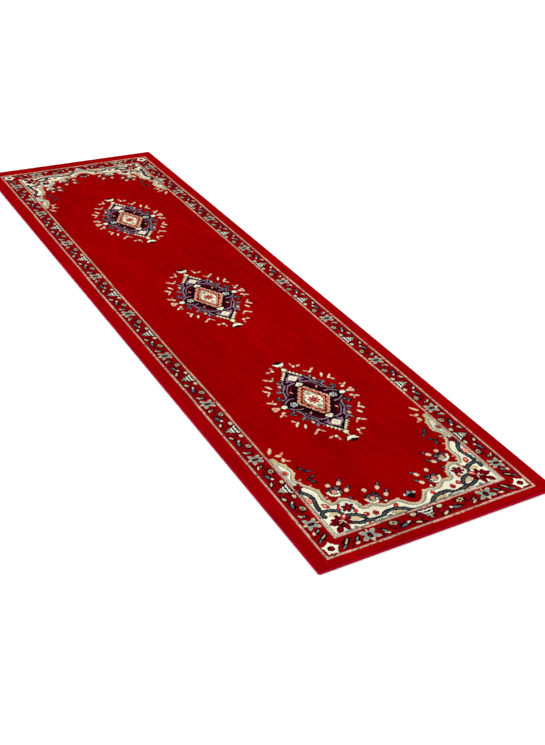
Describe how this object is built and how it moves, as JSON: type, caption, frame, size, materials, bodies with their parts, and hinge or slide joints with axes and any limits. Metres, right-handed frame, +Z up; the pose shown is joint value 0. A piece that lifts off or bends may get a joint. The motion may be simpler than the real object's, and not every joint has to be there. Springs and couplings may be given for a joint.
{
  "type": "runner rug",
  "caption": "Long narrow woven rug with a flat cut pile, patterned border stripes, field medallions, corner spandrels and overlocked edges.",
  "frame": {"origin": "middle of the underside, on the floor that the rug lies on", "axes": "+Y along the rug's length, +X across its width, +Z up out of the pile"},
  "size_m": [0.7, 2.5, 0.008],
  "materials": {
    "latex": "matt off-white latex coat rolled onto the underside",
    "jute": "brown jute and cotton ground weave",
    "edge_yarn": "crimson overlock yarn wrapped closely round the edge",
    "red_pile": "plain red cut pile, faintly streaked along the rows",
    "band_pile": "brighter plain red cut pile of the outer band",
    "salmon_pile": "salmon pink cut pile edged in beige",
    "border_pile": "red cut pile with cream, grey-green, salmon, blue-grey and black flowers",
    "medallion_pile": "maroon-black cut pile with lilac scrolls, salmon wreath and cream flowers",
    "cream_pile": "cream cut pile with tan, teal and maroon scrollwork"
  },
  "bodies": {
    "root": {"backing_coat": "latex", "ground_weave": "jute", "overlock_left": "edge_yarn", "overlock_right": "edge_yarn", "overlock_near": "edge_yarn", "overlock_far": "edge_yarn", "outer_band_left": "band_pile", "outer_band_right": "band_pile", "outer_band_near": "band_pile", "outer_band_far": "band_pile", "outer_stripe_left": "salmon_pile", "outer_stripe_right": "salmon_pile", "outer_stripe_near": "salmon_pile", "outer_stripe_far": "salmon_pile", "border_left": "border_pile", "border_right": "border_pile", "border_near": "border_pile", "border_far": "border_pile", "inner_stripe_left": "salmon_pile", "inner_stripe_right": "salmon_pile", "inner_stripe_near": "salmon_pile", "inner_stripe_far": "salmon_pile", "field": "red_pile", "medallion_near": "medallion_pile", "medallion_middle": "medallion_pile", "medallion_far": "medallion_pile", "spandrel_near_left": "cream_pile", "spandrel_near_right": "cream_pile", "spandrel_far_left": "cream_pile", "spandrel_far_right": "cream_pile"}
  },
  "joints": []
}
